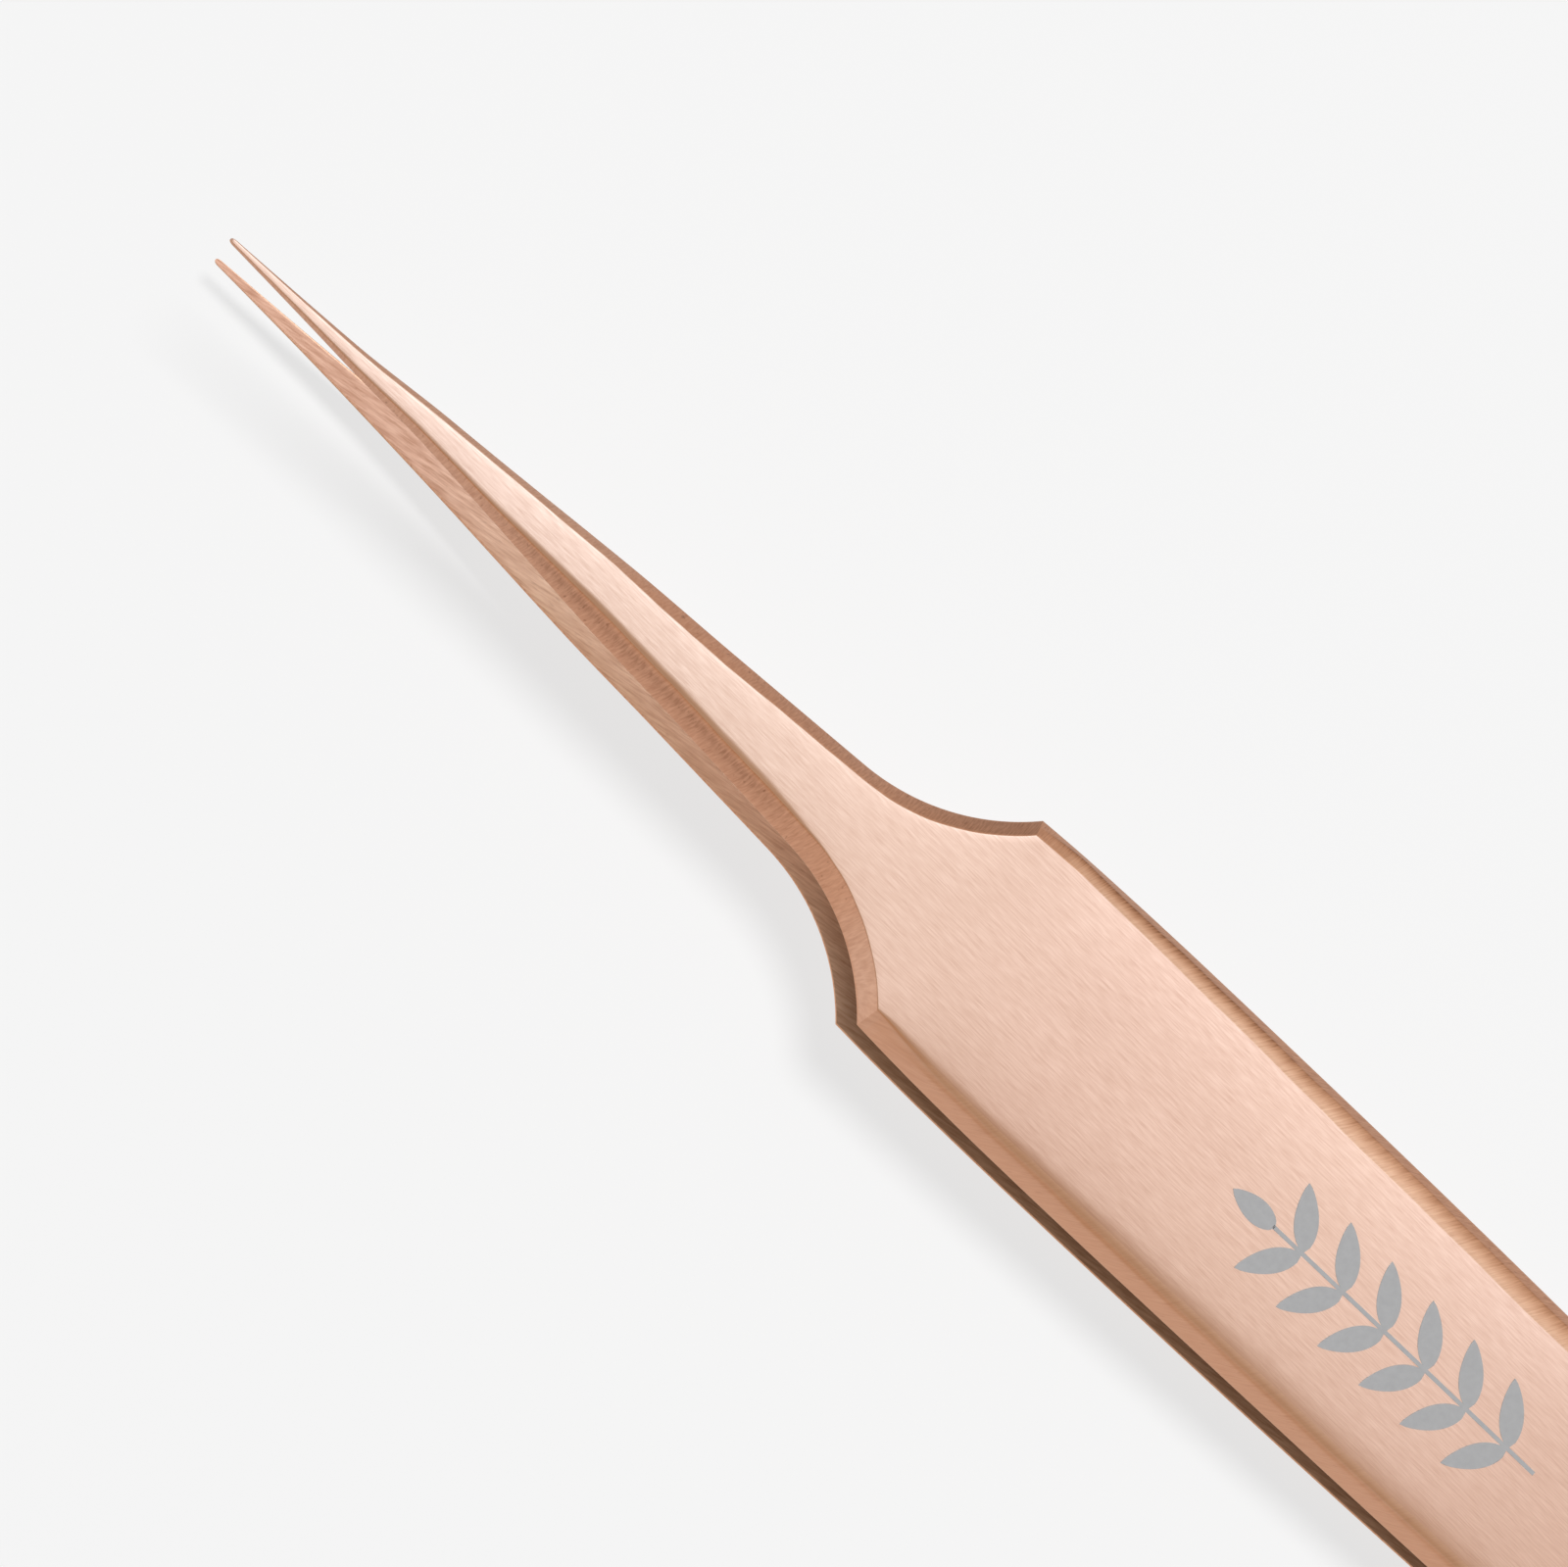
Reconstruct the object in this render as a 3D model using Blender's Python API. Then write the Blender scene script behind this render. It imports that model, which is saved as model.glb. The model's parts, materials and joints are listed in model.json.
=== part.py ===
"""Fine-point shouldered tweezers, lying on a flat surface with the points towards +X.

Two mirrored leaves of spring steel are spot-welded face to face in the tail. Each leaf is
a welded root and a blade that swings from it about the leaf's flexing line. Stations are
millimetres along a leaf from its point, so 0 is the tip and LENGTH is the rear end.
Heights are millimetres outward from the plane midway between the leaves.
"""

import math

import bmesh
import bpy
from mathutils import Matrix, Vector

MM = 0.001

# Stations along a leaf.
LENGTH = 110.0
POINT_STATION = 6.0  # the needle point ends and the taper begins
WAIST_STATION = 18.5  # the taper eases into the neck
NECK_STATION = 27.8  # the neck ends and the shoulder arc begins
WIDEST_STATION = 44.0
GRIP_STATION = 58.0
FLEX_STATION = 78.0  # line about which a bending leaf swings
THINNEST_STATION = 85.0
WELD_STATION = 99.0  # from here to the rear end the leaves lie flat together

# Outline half widths.
TIP_HALF_WIDTH = 0.07
POINT_HALF_WIDTH = 0.385
WAIST_HALF_WIDTH = 1.34
NECK_SLOPE = 0.063
SHOULDER_RADIUS = 8.57
SHOULDER_HALF_WIDTH = 4.78
GRIP_HALF_WIDTH = 5.0
TAIL_HALF_WIDTH = 3.0
TAIL_CORNER = 2.3
NOSE_LENGTH = 0.16

# Half of the gap between the leaves.
TIP_HALF_GAP = 3.6
SHOULDER_HALF_GAP = 2.15
GRIP_HALF_GAP = 2.0
WELD_HALF_GAP = 0.05

# Thickness of a leaf.
TIP_THICKNESS = 0.28
NECK_THICKNESS = 1.32
GRIP_THICKNESS = 1.38
FLEX_THICKNESS = 0.95
TAIL_THICKNESS = 1.2
TAIL_CHAMFER = 0.7

# Ground bevels along both sides of a leaf's outer face.
NECK_BEVEL = 0.62
SHOULDER_BEVEL = 0.48
GRIP_BEVEL = 1.3
TAIL_BEVEL = 0.95
EDGE_BREAK = 0.04
SOFT_REACH = 0.16

FLEX_GAP = 0.2
WELD_STATIONS = (("spot_weld_front", 102.2), ("spot_weld_rear", 106.2))
WELD_RADIUS = 1.3
WELD_HALF_HEIGHT = 0.5
WELD_CLEARANCE = 0.12
WELD_RIM = 0.15
WELD_SIDES = 32


def curve(u, start, end):
    """Cubic from (station, value, slope) to another; beyond its ends it stays level."""
    a, value_a, slope_a = start
    b, value_b, slope_b = end
    t = min(max((u - a) / (b - a), 0.0), 1.0)
    rise = t * t * (3.0 - 2.0 * t)
    lead = t * (1.0 - t) ** 2 * (b - a) * slope_a
    trail = t * t * (t - 1.0) * (b - a) * slope_b
    return value_a + (value_b - value_a) * rise + lead + trail


def shoulder():
    """Centre of the shoulder arc and its last station; the arc leaves the neck's line."""
    angle = math.atan(NECK_SLOPE)
    start = neck_half_width(NECK_STATION)
    centre_u = NECK_STATION - SHOULDER_RADIUS * math.sin(angle)
    centre_y = start + SHOULDER_RADIUS * math.cos(angle)
    reach = math.acos((centre_y - SHOULDER_HALF_WIDTH) / SHOULDER_RADIUS)
    return centre_u, centre_y, centre_u + SHOULDER_RADIUS * math.sin(reach)


def neck_half_width(u):
    waist_end = WAIST_STATION + 1.5
    if u < POINT_STATION:
        return curve(u, (0.0, TIP_HALF_WIDTH, 0.045), (POINT_STATION, POINT_HALF_WIDTH, 0.075))
    if u < waist_end:
        start = (POINT_STATION, POINT_HALF_WIDTH, 0.075)
        return curve(u, start, (waist_end, WAIST_HALF_WIDTH + 0.08, NECK_SLOPE))
    return WAIST_HALF_WIDTH + 0.08 + NECK_SLOPE * (u - waist_end)


def body_half_width(u):
    """Widens from the shoulder corner, then narrows along a shallow arc to the tail."""
    corner_u = SHOULDER_STATION
    if u < WIDEST_STATION:
        return curve(u, (corner_u, SHOULDER_HALF_WIDTH, 0.06), (WIDEST_STATION, GRIP_HALF_WIDTH, 0.0))
    share = (u - WIDEST_STATION) / (LENGTH - WIDEST_STATION)
    half = GRIP_HALF_WIDTH - (GRIP_HALF_WIDTH - TAIL_HALF_WIDTH) * share**2
    into_corner = max(u - (LENGTH - TAIL_CORNER), 0.0)
    return half - TAIL_CORNER + math.sqrt(max(TAIL_CORNER**2 - into_corner**2, 0.0))


def half_width(u):
    if u <= NECK_STATION:
        return neck_half_width(u)
    if u <= SHOULDER_STATION:
        return SHOULDER_Y - math.sqrt(SHOULDER_RADIUS**2 - (u - SHOULDER_U) ** 2)
    return body_half_width(u)


def half_gap(u):
    if u < SHOULDER_STATION:
        share = u / SHOULDER_STATION
        return TIP_HALF_GAP + (SHOULDER_HALF_GAP - TIP_HALF_GAP) * share
    neck_slope = (SHOULDER_HALF_GAP - TIP_HALF_GAP) / SHOULDER_STATION
    middle = (WIDEST_STATION + 8.0, GRIP_HALF_GAP, -0.006)
    if u < middle[0]:
        return curve(u, (SHOULDER_STATION, SHOULDER_HALF_GAP, neck_slope), middle)
    return curve(u, middle, (WELD_STATION, WELD_HALF_GAP, 0.0))


def thickness(u):
    if u < WAIST_STATION:
        return curve(u, (0.0, TIP_THICKNESS, 0.06), (WAIST_STATION, NECK_THICKNESS, 0.015))
    if u < SHOULDER_STATION:
        start = (WAIST_STATION, NECK_THICKNESS, 0.015)
        return curve(u, start, (SHOULDER_STATION, GRIP_THICKNESS, 0.0))
    if u < THINNEST_STATION:
        start = (GRIP_STATION, GRIP_THICKNESS, 0.0)
        return curve(u, start, (THINNEST_STATION, FLEX_THICKNESS, 0.0))
    full = curve(u, (THINNEST_STATION, FLEX_THICKNESS, 0.0), (WELD_STATION, TAIL_THICKNESS, 0.0))
    to_end = min((LENGTH - u) / TAIL_CHAMFER, 1.0)
    return full * (0.45 + 0.55 * to_end)


def bevel_run(u):
    """Width across the leaf of the ground bevel at one side."""
    if u <= NECK_STATION:
        run = NECK_BEVEL
    elif u <= SHOULDER_STATION:
        share = (u - NECK_STATION) / (SHOULDER_STATION - NECK_STATION)
        lean = math.asin((u - SHOULDER_U) / SHOULDER_RADIUS)
        square = NECK_BEVEL + (SHOULDER_BEVEL - NECK_BEVEL) * share**3
        run = square / math.cos(lean)
    elif u < GRIP_STATION:
        corner_run = bevel_run(SHOULDER_STATION)
        run = curve(u, (SHOULDER_STATION, corner_run, 0.03), (GRIP_STATION, GRIP_BEVEL, 0.0))
    else:
        run = curve(u, (GRIP_STATION, GRIP_BEVEL, 0.0), (LENGTH, TAIL_BEVEL, 0.0))
    return min(run, 0.42 * half_width(u))


def soft_corner(before, corner, after, reach):
    """Three points that round a corner between two straight runs."""
    back = (before - corner).normalized() * reach
    on = (after - corner).normalized() * reach
    return [corner + back, corner + (back + on) * 0.25, corner + on]


def half_section(u):
    """One side of the leaf's section as (across, above the inner face), inner edge first."""
    half = half_width(u)
    thick = thickness(u)
    run = bevel_run(u)
    edge = min(EDGE_BREAK, 0.2 * half)
    foot = Vector((half, edge))
    crest = Vector((half - run, thick))
    straight = foot.lerp(crest, 0.38)
    steep = Vector((half - 0.21 * run, edge + 0.38 * (thick - edge)))
    on_grip = curve(u, (SHOULDER_STATION - 1.0, 0.0, 0.0), (SHOULDER_STATION + 2.0, 1.0, 0.0))
    strip = straight.lerp(steep, on_grip)
    reach = min(SOFT_REACH, 0.3 * run)
    crown = soft_corner(strip, crest, Vector((0.0, thick)), reach)
    return [Vector((half - edge, 0.0)), foot, strip] + crown


def ring(u, side):
    """The leaf's whole section at a station, in the plane across the leaf."""
    swell = 1.0
    if u < NOSE_LENGTH:
        swell = math.sqrt(1.0 - 0.75 * (1.0 - u / NOSE_LENGTH) ** 2)
    right = [(p.x * swell, p.y * swell) for p in half_section(u)]
    around = right + [(-y, h) for y, h in reversed(right)]
    return [Vector((LENGTH - u, y, side * (half_gap(u) + h))) for y, h in around]


def steps(first, last, longest):
    count = max(1, math.ceil((last - first) / longest))
    return [first + (last - first) * i / count for i in range(count)]


def blade_stations():
    found = [0.0, NOSE_LENGTH * 0.35]
    found += steps(NOSE_LENGTH, POINT_STATION, 0.6)
    found += steps(POINT_STATION, NECK_STATION, 1.0)
    found += steps(NECK_STATION, SHOULDER_STATION, 0.3)
    found += steps(SHOULDER_STATION, FLEX_STATION - FLEX_GAP / 2, 1.2)
    return found + [FLEX_STATION - FLEX_GAP / 2]


def root_stations():
    found = steps(FLEX_STATION + FLEX_GAP / 2, WELD_STATION, 1.0)
    found += steps(WELD_STATION, LENGTH - TAIL_CORNER, 1.5)
    turns = [math.radians(11.25 * i) for i in range(9)]
    round_end = {round(LENGTH - TAIL_CORNER + TAIL_CORNER * math.sin(a), 6) for a in turns}
    round_end.add(LENGTH - TAIL_CHAMFER)
    return found + sorted(round_end)


def lofted(stations, side):
    """Closed leaf mesh through the sections at these stations, in millimetres."""
    mesh = bmesh.new()
    rows = [[mesh.verts.new(point) for point in ring(u, side)] for u in stations]
    for near, far in zip(rows, rows[1:]):
        for i in range(len(near)):
            j = (i + 1) % len(near)
            mesh.faces.new((near[i], near[j], far[j], far[i]))
    mesh.faces.new(rows[0])
    mesh.faces.new(list(reversed(rows[-1])))
    bmesh.ops.recalc_face_normals(mesh, faces=mesh.faces)
    return mesh


def turned(profile, sides):
    """Closed solid of revolution about Z from (radius, height) points, bottom first."""
    mesh = bmesh.new()
    rows = []
    for radius, height in profile:
        row = []
        for i in range(sides):
            angle = 2.0 * math.pi * i / sides
            row.append(mesh.verts.new((radius * math.cos(angle), radius * math.sin(angle), height)))
        rows.append(row)
    for low, high in zip(rows, rows[1:]):
        for i in range(sides):
            j = (i + 1) % sides
            mesh.faces.new((low[i], low[j], high[j], high[i]))
    mesh.faces.new(list(reversed(rows[0])))
    mesh.faces.new(rows[-1])
    bmesh.ops.recalc_face_normals(mesh, faces=mesh.faces)
    return mesh


def finish(name, mesh, origin, material):
    """Object in metres whose origin is this point of the assembly, given in millimetres."""
    bmesh.ops.translate(mesh, verts=mesh.verts, vec=-origin)
    bmesh.ops.scale(mesh, verts=mesh.verts, vec=(MM, MM, MM))
    data = bpy.data.meshes.new(name)
    mesh.to_mesh(data)
    mesh.free()
    data.polygons.foreach_set("use_smooth", [True] * len(data.polygons))
    data.set_sharp_from_angle(angle=math.radians(24.0))
    part = bpy.data.objects.new(name, data)
    bpy.context.scene.collection.objects.link(part)
    if material:
        data.materials.append(material)
    part.location = origin * MM
    return part


def metal(name, color, roughness):
    made = bpy.data.materials.new(name)
    made.use_nodes = True
    shader = made.node_tree.nodes["Principled BSDF"]
    shader.inputs["Base Color"].default_value = color
    shader.inputs["Roughness"].default_value = roughness
    shader.inputs["Metallic"].default_value = 1.0
    return made


def cut_pockets(leaf):
    """Sinks a round pocket for each spot weld into the leaf's inner face."""
    radius = WELD_RADIUS + WELD_CLEARANCE
    top = WELD_HALF_HEIGHT + WELD_CLEARANCE
    for name, station in WELD_STATIONS:
        cutter_mesh = turned([(radius, -top), (radius, top)], WELD_SIDES)
        cutter = finish(f"{leaf.name}_{name}_cutter", cutter_mesh, Vector((0, 0, 0)), None)
        cutter.location = Vector((LENGTH - station, 0.0, 0.0)) * MM
        cutter.hide_render = True
        cutter.display_type = "WIRE"
        cut = leaf.modifiers.new(f"pocket_{name}", "BOOLEAN")
        cut.operation = "DIFFERENCE"
        cut.solver = "EXACT"
        cut.object = cutter


def flex_point(side):
    middle = half_gap(FLEX_STATION) + thickness(FLEX_STATION) / 2
    return Vector((LENGTH - FLEX_STATION, 0.0, side * middle))


def make_arm(word, side, material):
    blade = finish(f"{word}_arm_blade", lofted(blade_stations(), side), flex_point(side), material)
    tail_middle = Vector((LENGTH - WELD_STATION, 0.0, side * TAIL_THICKNESS / 2))
    root = finish(f"{word}_arm_root", lofted(root_stations(), side), tail_middle, material)
    cut_pockets(root)
    return [blade, root]


def make_welds(material):
    made = []
    rim = WELD_RADIUS - WELD_RIM
    side_height = WELD_HALF_HEIGHT - WELD_RIM
    profile = [(rim, -WELD_HALF_HEIGHT), (WELD_RADIUS, -side_height)]
    profile += [(WELD_RADIUS, side_height), (rim, WELD_HALF_HEIGHT)]
    for name, station in WELD_STATIONS:
        weld = finish(name, turned(profile, WELD_SIDES), Vector((0, 0, 0)), material)
        weld.location = Vector((LENGTH - station, 0.0, 0.0)) * MM
        made.append(weld)
    return made


def lie_tilt():
    """Angle that lays the lower leaf's bulge and the tail's rear edge on one plane."""
    rear = LENGTH - TAIL_CHAMFER
    rear_drop = half_gap(rear) + thickness(rear)
    best = 0.0
    for i in range(2000):
        u = WELD_STATION * i / 2000
        best = max(best, (half_gap(u) + thickness(u) - rear_drop) / (rear - u))
    return math.atan(best)


def lay_down(parts):
    """Turns the assembly to rest on z = 0 and centres it on the origin in X."""
    turn = Matrix.Rotation(-lie_tilt(), 4, "Y")
    points = []
    for part in parts:
        place = Matrix.Translation(part.location)
        points += [turn @ place @ v.co for v in part.data.vertices]
    low_x = min(p.x for p in points)
    high_x = max(p.x for p in points)
    low_z = min(p.z for p in points)
    shift = Matrix.Translation((-(low_x + high_x) / 2, 0.0, -low_z))
    for thing in bpy.context.scene.collection.objects:
        thing.matrix_world = shift @ turn @ Matrix.Translation(thing.location)


for old in list(bpy.data.objects):
    bpy.data.objects.remove(old, do_unlink=True)

SHOULDER_U, SHOULDER_Y, SHOULDER_STATION = shoulder()

steel = metal("rose_gold_steel", (0.80, 0.52, 0.40, 1.0), 0.32)
weld_steel = metal("weld_steel", (0.46, 0.43, 0.41, 1.0), 0.5)
pieces = make_arm("upper", 1, steel) + make_arm("lower", -1, steel) + make_welds(weld_steel)
lay_down(pieces)
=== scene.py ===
"""Looks for the fine-point tweezers: two brushed rose-gold leaves, a printed sprig, a pale studio.

Stations are millimetres along a leaf from its point. Heights are millimetres outward from the
plane midway between the leaves. Each leaf is one unbroken mesh.
"""

import json
import math

import bmesh
import bpy
from mathutils import Matrix, Vector

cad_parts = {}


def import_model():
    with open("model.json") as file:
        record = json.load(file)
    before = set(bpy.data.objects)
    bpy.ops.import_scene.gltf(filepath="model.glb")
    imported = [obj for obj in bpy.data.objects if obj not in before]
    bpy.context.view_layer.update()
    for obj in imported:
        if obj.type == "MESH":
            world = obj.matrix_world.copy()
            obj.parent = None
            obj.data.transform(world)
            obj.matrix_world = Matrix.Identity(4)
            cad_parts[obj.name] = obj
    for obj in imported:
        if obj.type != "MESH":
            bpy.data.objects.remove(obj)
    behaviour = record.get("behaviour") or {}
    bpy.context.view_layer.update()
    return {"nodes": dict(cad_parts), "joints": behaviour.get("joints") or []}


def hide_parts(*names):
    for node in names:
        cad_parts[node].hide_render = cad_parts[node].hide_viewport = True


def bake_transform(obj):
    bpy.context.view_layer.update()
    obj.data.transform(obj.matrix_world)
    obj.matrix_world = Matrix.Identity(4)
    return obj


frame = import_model()

MM = 0.001

# The leaf's dimensions, as in the CAD source.
LENGTH = 110.0
POINT_STATION = 6.0
WAIST_STATION = 18.5
NECK_STATION = 27.8
WIDEST_STATION = 44.0
GRIP_STATION = 58.0
FLEX_STATION = 78.0
THINNEST_STATION = 85.0
WELD_STATION = 99.0
NECK_SLOPE = 0.063
SHOULDER_RADIUS = 8.57
SHOULDER_HALF_WIDTH = 4.78
GRIP_HALF_WIDTH = 5.0
TAIL_HALF_WIDTH = 3.0
TAIL_CORNER = 2.3
NOSE_LENGTH = 0.16
TIP_HALF_GAP = 3.6
SHOULDER_HALF_GAP = 2.15
GRIP_HALF_GAP = 2.0
WELD_HALF_GAP = 0.015
TIP_THICKNESS = 0.28
NECK_THICKNESS = 1.32
GRIP_THICKNESS = 1.38
FLEX_THICKNESS = 0.95
TAIL_THICKNESS = 1.235
TAIL_CHAMFER = 0.7
NECK_BEVEL = 0.62
SHOULDER_BEVEL = 0.48
GRIP_BEVEL = 1.3
TAIL_BEVEL = 0.95
WELD_MARKS = (102.2, 106.2)

# Half width of the point and neck: (station, half width, slope).
NECK_PROFILE = (
    (0.0, 0.10, 0.047),
    (4.8, 0.335, 0.056),
    (11.1, 0.755, 0.076),
    (17.5, 1.285, 0.076),
    (22.0, 1.546, NECK_SLOPE),
)
# The upper point stands a little to the left of the lower one.
TIP_BOW = 0.11
BOW_STATIONS = (5.5, 9.5)


def curve(u, start, end):
    """Cubic from (station, value, slope) to another; beyond its ends it stays level."""
    a, value_a, slope_a = start
    b, value_b, slope_b = end
    t = min(max((u - a) / (b - a), 0.0), 1.0)
    rise = t * t * (3.0 - 2.0 * t)
    lead = t * (1.0 - t) ** 2 * (b - a) * slope_a
    trail = t * t * (t - 1.0) * (b - a) * slope_b
    return value_a + (value_b - value_a) * rise + lead + trail


def ease(u, low, high):
    return curve(u, (low, 0.0, 0.0), (high, 1.0, 0.0))


def eased(u, knots):
    """Smooth steps through (station, value) knots, level before the first and after the last."""
    for (a, low), (b, high) in zip(knots, knots[1:]):
        if u < b:
            return curve(u, (a, low, 0.0), (b, high, 0.0))
    return knots[-1][1]


def neck_half_width(u):
    for start, end in zip(NECK_PROFILE, NECK_PROFILE[1:]):
        if u < end[0]:
            return curve(u, start, end)
    return NECK_PROFILE[-1][1] + NECK_SLOPE * (u - NECK_PROFILE[-1][0])


def shoulder():
    """Centre of the shoulder arc and its last station; the arc leaves the neck's line."""
    angle = math.atan(NECK_SLOPE)
    start = neck_half_width(NECK_STATION)
    centre_u = NECK_STATION - SHOULDER_RADIUS * math.sin(angle)
    centre_y = start + SHOULDER_RADIUS * math.cos(angle)
    reach = math.acos((centre_y - SHOULDER_HALF_WIDTH) / SHOULDER_RADIUS)
    return centre_u, centre_y, centre_u + SHOULDER_RADIUS * math.sin(reach)


SHOULDER_U, SHOULDER_Y, SHOULDER_STATION = shoulder()


def body_half_width(u):
    corner = (SHOULDER_STATION, SHOULDER_HALF_WIDTH, 0.06)
    if u < WIDEST_STATION:
        return curve(u, corner, (WIDEST_STATION, GRIP_HALF_WIDTH, 0.0))
    share = (u - WIDEST_STATION) / (LENGTH - WIDEST_STATION)
    half = GRIP_HALF_WIDTH - (GRIP_HALF_WIDTH - TAIL_HALF_WIDTH) * share**2
    into_corner = max(u - (LENGTH - TAIL_CORNER), 0.0)
    return half - TAIL_CORNER + math.sqrt(max(TAIL_CORNER**2 - into_corner**2, 0.0))


def half_width(u):
    if u <= NECK_STATION:
        return neck_half_width(u)
    if u <= SHOULDER_STATION:
        return SHOULDER_Y - math.sqrt(SHOULDER_RADIUS**2 - (u - SHOULDER_U) ** 2)
    return body_half_width(u)


def half_gap(u):
    if u < SHOULDER_STATION:
        return TIP_HALF_GAP + (SHOULDER_HALF_GAP - TIP_HALF_GAP) * u / SHOULDER_STATION
    neck_slope = (SHOULDER_HALF_GAP - TIP_HALF_GAP) / SHOULDER_STATION
    middle = (WIDEST_STATION + 8.0, GRIP_HALF_GAP, -0.006)
    if u < middle[0]:
        return curve(u, (SHOULDER_STATION, SHOULDER_HALF_GAP, neck_slope), middle)
    return curve(u, middle, (WELD_STATION, WELD_HALF_GAP, 0.0))


def thickness(u):
    if u < WAIST_STATION:
        return curve(u, (0.0, TIP_THICKNESS, 0.06), (WAIST_STATION, NECK_THICKNESS, 0.015))
    if u < SHOULDER_STATION:
        start = (WAIST_STATION, NECK_THICKNESS, 0.015)
        return curve(u, start, (SHOULDER_STATION, GRIP_THICKNESS, 0.0))
    if u < THINNEST_STATION:
        start = (GRIP_STATION, GRIP_THICKNESS, 0.0)
        return curve(u, start, (THINNEST_STATION, FLEX_THICKNESS, 0.0))
    full = curve(u, (THINNEST_STATION, FLEX_THICKNESS, 0.0), (WELD_STATION, TAIL_THICKNESS, 0.0))
    to_end = min((LENGTH - u) / TAIL_CHAMFER, 1.0)
    return full * (0.45 + 0.55 * math.sin(to_end * math.pi / 2))


def bevel_run(u):
    if u <= NECK_STATION:
        run = NECK_BEVEL
    elif u <= SHOULDER_STATION:
        share = (u - NECK_STATION) / (SHOULDER_STATION - NECK_STATION)
        lean = math.asin((u - SHOULDER_U) / SHOULDER_RADIUS)
        run = (NECK_BEVEL + (SHOULDER_BEVEL - NECK_BEVEL) * share**3) / math.cos(lean)
    elif u < GRIP_STATION:
        start = (SHOULDER_STATION, bevel_run(SHOULDER_STATION), 0.03)
        run = curve(u, start, (GRIP_STATION, GRIP_BEVEL, 0.0))
    else:
        run = curve(u, (GRIP_STATION, GRIP_BEVEL, 0.0), (LENGTH, TAIL_BEVEL, 0.0))
    return min(run, 0.5 * half_width(u))


def lie_matrix():
    """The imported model's own lie, taken from the flexing lines that its record states."""
    joints = {joint["name"]: Vector(joint["pos_m"]) for joint in frame["joints"]}
    upper = joints["upper_arm_flex"]
    lower = joints["lower_arm_flex"]
    up = (upper - lower).normalized()
    turn = Matrix.Rotation(math.atan2(up.x, up.z), 4, "Y")
    middle = (upper + lower) / 2
    flex = Vector(((LENGTH - FLEX_STATION) * MM, 0.0, 0.0))
    return Matrix.Translation(middle) @ turn @ Matrix.Translation(-flex)


LIE = lie_matrix()


def place(u, y, height, side=1):
    """Row-frame point of a station, a distance across and a height on one side."""
    return LIE @ (Vector((LENGTH - u, y, side * height)) * MM)


# ---------------------------------------------------------------- leaves

FACE, BEVEL, INNER = 0, 1, 2
LEFT, RIGHT = 1, -1

INNER_POINTS = 4
EDGE_POINTS = 4
CREST_POINTS = 7
FACE_POINTS = 13
EDGE_BREAK = 0.075
CROWN_POWER = 2.8

# Stretches past the shoulder, in millimetres from it: (start, end).
GRIP_EASE = (-0.6, 4.0)
CORNER_EASE = (-0.5, 1.0)
FACET_EASE = {LEFT: (-0.6, 4.0), RIGHT: (-0.3, 1.8)}
FULL_GRIP_START = 2.0

# The two sides are ground by hand and differ: the left is wide and soft, the right is crisp.
# These rows are (station, value) knots: the ground run as a share of the half width, how far the
# neck's sides take the face's colour as a painted highlight, how far painted shade darkens them,
# how round the neck's crest is, how much less round it is in the flare, and what is left of the
# break's painted dark line.
NEVER = ((0.0, 0.0),)
NECK_SHARE = {
    LEFT: ((11.0, 0.25), (18.0, 0.42)),
    RIGHT: ((5.0, 0.50), (14.0, 0.38), (16.0, 0.38), (19.5, 0.43)),
}
NECK_PAINTED_HIGHLIGHT = {
    LEFT: ((29.5, 0.0), (33.0, 0.6)),
    RIGHT: ((3.0, 0.0), (8.0, 0.35), (16.0, 0.35), (19.0, 0.0)),
}
NECK_PAINTED_SHADE = {LEFT: NEVER, RIGHT: ((21.0, 0.0), (26.0, 0.28), (28.5, 0.28), (33.5, 0.50))}
NECK_ROUND = {LEFT: ((10.0, 0.0), (17.0, 1.0), (25.0, 1.0), (28.5, 0.0)), RIGHT: NEVER}
FLARE_CRISP = {LEFT: ((26.5, 0.0), (29.5, 0.72)), RIGHT: NEVER}
SHADE_LINE_FADE = ((42.0, 1.0), (50.0, 0.45))
WAVER_RISE = ((8.0, 0.0), (20.0, 1.0))

# Values that grow at the shoulder and again towards the full grip: (shoulder, full grip).
GRIP_TRIM = {LEFT: (0.12, 0.50), RIGHT: (0.03, 0.13)}
CREST_REACH = {LEFT: (0.05, 0.10), RIGHT: (0.0, 0.0)}
FACE_REACH = {LEFT: (0.20, 0.45), RIGHT: (0.0, 0.0)}
NECK_CREST_REACH = {LEFT: 0.12, RIGHT: 0.07}
NECK_FACE_REACH = {LEFT: 0.16, RIGHT: 0.06}
ROUND_CREST_REACH = 0.16
ROUND_FACE_REACH = 0.07

# The facet's run and rise are shares of the whole side's; reaches, bulge and sag are millimetres.
# Painted shade darkening the right-hand ground side along the grip.
GRIP_PAINTED_SHADE = {LEFT: 0.0, RIGHT: 0.30}
FACET_RUN = {LEFT: 0.56, RIGHT: 0.40}
FACET_RUN_LOSS = 0.13
FACET_RISE = 0.76
BREAK_REACH = 0.05
GRIP_BREAK_REACH = {LEFT: 0.06, RIGHT: 0.0}
BAND_BULGE = {LEFT: 0.0, RIGHT: 0.018}
BAND_POLISH = {LEFT: 0.75, RIGHT: 1.0}
# How strong the painted shade line on the break is on each side.
SHADE_LINE_STRENGTH = {LEFT: 0.10, RIGHT: 1.0}
NECK_SAG = 0.022
GRIP_SAG = 0.073
WORN_CREST = 0.5
WORN_CREST_LOSS = 0.35
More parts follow.
